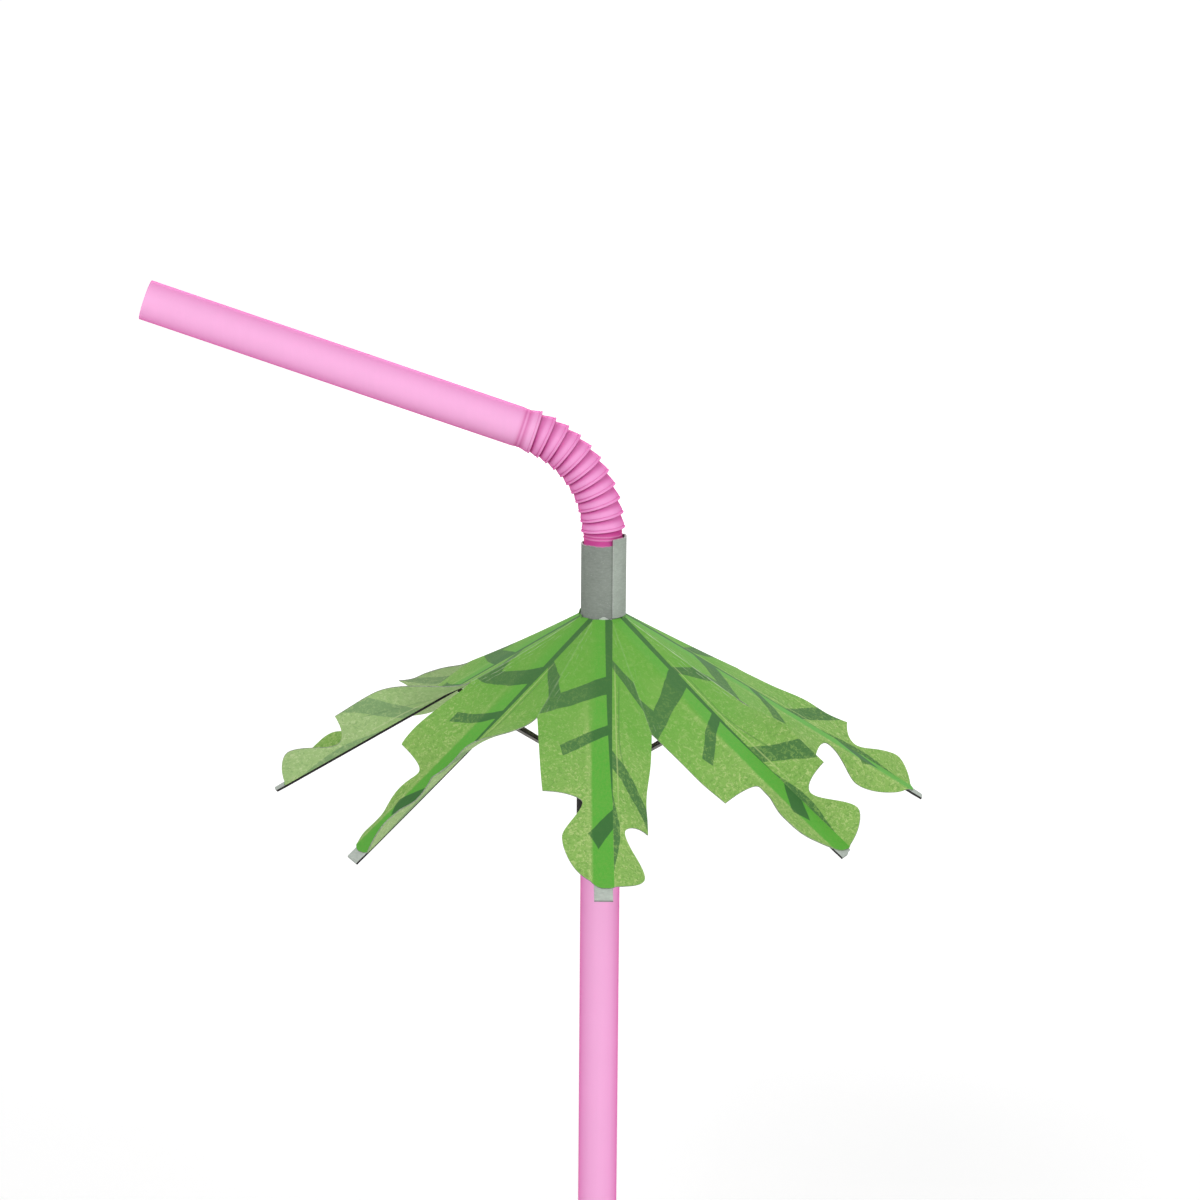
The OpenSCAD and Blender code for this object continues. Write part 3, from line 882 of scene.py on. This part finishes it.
def pleat_pull(i, side, s, u):
    """Offset of a half's paper where its pleat is raised and drawn in; both halves share it."""
    gap = gap_beside(i, side)
    lift, inward = PLEAT_PULL[gap]
    az = math.radians(-67.5 + 45 * gap)
    out = np.array([math.cos(az), math.sin(az), 0.0])
    normal = out * math.cos(RIB_OPEN) * math.cos(math.pi / LEAVES) + UP * math.sin(RIB_OPEN)
    down = out * math.sin(RIB_OPEN) - UP * math.cos(RIB_OPEN)
    start, wide, _ = SLIT[side]
    if s <= start:
        share = max((s - APEX) / (start - APEX), 0.0) ** 2
        across = min(u / max(half_width(side, s), 1e-3), 1.0)
    else:
        share = 1 - ease((s - start) / 12)
        across = min(u / wide, 1.0)
    return (normal * lift - down * inward) * share * across ** 1.5


def leaf_point(i, s, t, h):
    """Point of leaf i at flat place (s, t), h above the middle of the paper."""
    _, across, down, normal = rib_axes(i)
    foot = rib_base(i) + down * s + normal * FOLD_N + rib_bow(i, s)
    if abs(t) < FOLD_T - 1e-6:
        return foot + across * t + normal * h
    side = 1 if t > 0 else -1
    u = abs(t) - FOLD_T
    angle, curl = fold_angle(i, side, s)
    if abs(curl) < 1e-5:
        wide, deep = u * math.cos(angle), u * math.sin(angle)
    else:
        wide = (math.sin(angle + curl * u) - math.sin(angle)) / curl
        deep = (math.cos(angle) - math.cos(angle + curl * u)) / curl
    if u < 1e-6:
        lean = angle / 2
        up = side * across * math.sin(lean) + normal * math.cos(lean)
        return foot + side * across * FOLD_T + up * h / math.cos(lean)
    up = half_normal(i, side, s, u)
    start = SLIT[side][0]
    width = half_width(side, s)
    if s <= start and abs(u - width) < 1e-4:
        # At a valley the skins of two leaves meet on the plane between them
        j = (i + side - 1) % LEAVES + 1
        other = half_normal(j, -side, s, 0.0)
        middle = up + other
        middle = middle / np.linalg.norm(middle)
        up = middle / max(float(middle @ up), 0.5)
    ripple = 0.0
    if s > start:
        reach = ease((s - start) / 8) * ease(u / 2.5)
        ripple = 0.10 * reach * math.sin(0.62 * s + 1.3 * i + 0.5 * u * side)
    slide = (LEFT_FOLD if side < 0 else RIGHT_FOLD)[i - 1][3] * u * ease((s - start) / 8)
    foot = foot + pleat_pull(i, side, s, u) + down * slide
    return foot + side * across * (FOLD_T + wide) - normal * deep + up * (h + ripple)


def stations():
    """Distances along the leaf at which its mesh has a row."""
    rows = [FIRST_ROW, 0.0, APEX, APEX + 0.2] + list(np.linspace(1.0, 19.6, 18))
    rows += list(np.arange(20.0, LEAF_LEN, 0.5))
    rows += [SLIT[-1][0], SLIT[1][0], MARGIN_MARKS[-1][0][0], MARGIN_MARKS[1][0][0]]
    rows += list(np.arange(34.4, 36.4, 0.14)) + list(np.arange(39.0, 41.4, 0.14))
    rows += [50.3, 50.7, 51.0, 51.2, 51.35, 51.45, 51.55, LEAF_LEN]
    return sorted(set(round(float(r), 4) for r in rows))


ROWS = stations()
OVER_RIB = [1.5, 1.2, 0.8, 0.4, 0.0, -0.4, -0.8, -1.2, -1.4, -1.5]
SHARES = [0.02, 0.06, 0.12, 0.2, 0.3, 0.4, 0.5, 0.6, 0.7, 0.8, 0.9, 0.96, 1.0]


def flat_row(side, s):
    """Flat places across one row of a piece, from the ridge outwards."""
    edge = FOLD_T + half_width(side, s)
    if side > 0:
        edge = max(edge, FOLD_T + 0.02)
        return [FOLD_T] + [FOLD_T + (edge - FOLD_T) * k for k in SHARES]
    top = min(FOLD_T, max(FOLD_T + half_width(1, s), 0.0))
    if edge >= FOLD_T:
        inner = [min(t, top) for t in OVER_RIB]
        return inner + [-FOLD_T - (edge - FOLD_T) * k for k in SHARES]
    count = len(OVER_RIB) + len(SHARES)
    return [top + (-edge - top) * k / (count - 1) for k in range(count)]


def valley_distance(side, s, t):
    """Distance of a flat place from its pleat; far where the sheet has no pleat."""
    if s > SLIT[side][0] or abs(t) < FOLD_T:
        return 9.0
    return max(half_width(side, s) - (abs(t) - FOLD_T), 0.0)


def leaf_piece(i, side):
    """Left piece: from the left margin over the rib to the ridge. Right piece: from the ridge out."""
    rows = [s for s in ROWS if side < 0 or APEX + 0.1 < s <= RIGHT_END]
    flat = [(t, s) for s in rows for t in flat_row(side, s)]
    columns = len(flat_row(side, rows[0]))
    points = [leaf_point(i, s, t, PAPER_T / 2) for t, s in flat]
    points += [leaf_point(i, s, t, -PAPER_T / 2) for t, s in flat]
    faces, picks = strip_faces(len(rows), columns)
    if side > 0:
        faces = [tuple(reversed(f)) for f in faces]
    shift, turn = (LEFT_PRINT if side < 0 else RIGHT_PRINT)[i - 1]
    worn = PLEAT_WORN[gap_beside(i, side)]
    values = {
        "leaf_no": [float(i)] * (2 * len(flat)),
        "valley": [valley_distance(side, s, t) for t, s in flat] * 2,
        "print_along": [s - shift - turn * abs(t - FOLD_T) for t, s in flat] * 2,
        "worn": [worn] * (2 * len(flat)),
    }
    word = "left" if side < 0 else "right"
    piece = make_object(f"leaf_{i}_{word}_paper", points, faces, [LEAF_TOP, LEAF_BACK, LEAF_EDGE], picks,
                        smooth=30, flat=flat * 2, values=values)
    across = [abs(flat_row(side, s)[0] - flat_row(side, s)[-1]) for s in rows]
    area = sum((across[k] + across[k + 1]) / 2 * (rows[k + 1] - rows[k]) for k in range(len(rows) - 1))
    return piece, area * MM * MM


for i in range(1, LEAVES + 1):
    left, left_area = leaf_piece(i, -1)
    right, _ = leaf_piece(i, 1)
    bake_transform(left)
    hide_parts(f"leaf_left_{i}", f"leaf_spine_{i}")
    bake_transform(right)
    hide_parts(f"leaf_right_{i}")


# Floor, light and camera

def seen_directly(tree):
    """1 for what the camera sees straight, in a reflection or through clear plastic."""
    path = tree.nodes.new("ShaderNodeLightPath")
    value = path.outputs["Is Camera Ray"]
    for label in ("Is Glossy Ray", "Is Transmission Ray"):
        node = tree.nodes.new("ShaderNodeMath")
        node.operation = "MAXIMUM"
        tree.links.new(value, node.inputs[0])
        tree.links.new(path.outputs[label], node.inputs[1])
        value = node.outputs[0]
    return value


def white_floor():
    """Pale floor that looks white out of the lamps' reach too, and keeps the object's shadow.

    From below it is clear, so that the parasol's underside can be seen.
    """
    g = Graph("pale_floor")
    g.shader.inputs["Base Color"].default_value = (0.9, 0.9, 0.9, 1)
    g.shader.inputs["Roughness"].default_value = 0.9
    g.shader.inputs["Specular IOR Level"].default_value = 0.0
    tree = g.tree
    place = tree.nodes.new("ShaderNodeNewGeometry")
    away = tree.nodes.new("ShaderNodeVectorMath")
    away.operation = "LENGTH"
    tree.links.new(place.outputs["Position"], away.inputs[0])
    fade = g.step(away.outputs["Value"], 0.1, 1.1)
    glow = tree.nodes.new("ShaderNodeEmission")
    g.plug(glow.inputs["Strength"], g.mul(seen_directly(tree), g.add(0.13, g.mul(fade, 0.48))))
    both = tree.nodes.new("ShaderNodeAddShader")
    tree.links.new(g.shader.outputs[0], both.inputs[0])
    tree.links.new(glow.outputs[0], both.inputs[1])
    clear = tree.nodes.new("ShaderNodeBsdfTransparent")
    sides = tree.nodes.new("ShaderNodeMixShader")
    tree.links.new(place.outputs["Backfacing"], sides.inputs[0])
    tree.links.new(both.outputs[0], sides.inputs[1])
    tree.links.new(clear.outputs[0], sides.inputs[2])
    tree.links.new(sides.outputs[0], tree.nodes["Material Output"].inputs["Surface"])
    return g.material


half_floor = 6.0
corners = [(x * half_floor, y * half_floor, 0) for x, y in ((-1, -1), (1, -1), (1, 1), (-1, 1))]
floor_mesh = bpy.data.meshes.new("floor")
floor_mesh.from_pydata(corners, [], [(0, 1, 2, 3)])
floor_mesh.materials.append(white_floor())
floor = bpy.data.objects.new("floor", floor_mesh)
bpy.context.scene.collection.objects.link(floor)

world = bpy.data.worlds.new("soft_room")
world.use_nodes = True
room = world.node_tree.nodes["Background"]
room.inputs["Color"].default_value = (1, 1, 1, 1)
level = world.node_tree.nodes.new("ShaderNodeMapRange")
level.inputs["To Min"].default_value = 0.48
level.inputs["To Max"].default_value = 1.0
world.node_tree.links.new(seen_directly(world.node_tree), level.inputs["Value"])
world.node_tree.links.new(level.outputs["Result"], room.inputs["Strength"])
bpy.context.scene.world = world


def soft_box(name, place, size, power):
    """Square lamp facing the parasol."""
    lamp = bpy.data.lights.new(name, "AREA")
    lamp.size = size
    lamp.energy = power
    obj = bpy.data.objects.new(name, lamp)
    obj.location = place
    aim = Vector((0, 0, CROWN_Z * MM)) - Vector(place)
    obj.rotation_euler = aim.to_track_quat("-Z", "Y").to_euler()
    bpy.context.scene.collection.objects.link(obj)


soft_box("key_light", (-0.35, -0.75, 0.65), 0.5, 4.2)
soft_box("fill_light", (0.6, -0.45, 0.4), 0.6, 2.2)
soft_box("back_light", (0.1, 0.75, 0.6), 0.6, 3.2)

# The photograph is square, and the camera looks a little down at the parasol
distance = 466.07
rise = math.radians(13.543)
roll = math.radians(0.483)
aim_point = Vector((-0.354, 0.0, CROWN_Z + 2.615))
back = Vector((0, -math.cos(rise), math.sin(rise)))
right_hand = Vector((1, 0, 0))
upward = back.cross(right_hand)
turned_right = right_hand * math.cos(roll) + upward * math.sin(roll)
turned_up = upward * math.cos(roll) - right_hand * math.sin(roll)
view = bpy.data.cameras.new("camera")
view.sensor_width = 36
view.lens = 93.474
view.clip_start = 0.01
camera = bpy.data.objects.new("camera", view)
axes = Matrix((turned_right, turned_up, back)).transposed()
camera.matrix_world = Matrix.Translation((aim_point + back * distance) * MM) @ axes.to_4x4()
bpy.context.scene.collection.objects.link(camera)
bpy.context.scene.camera = camera
bpy.context.scene.view_settings.view_transform = "Standard"
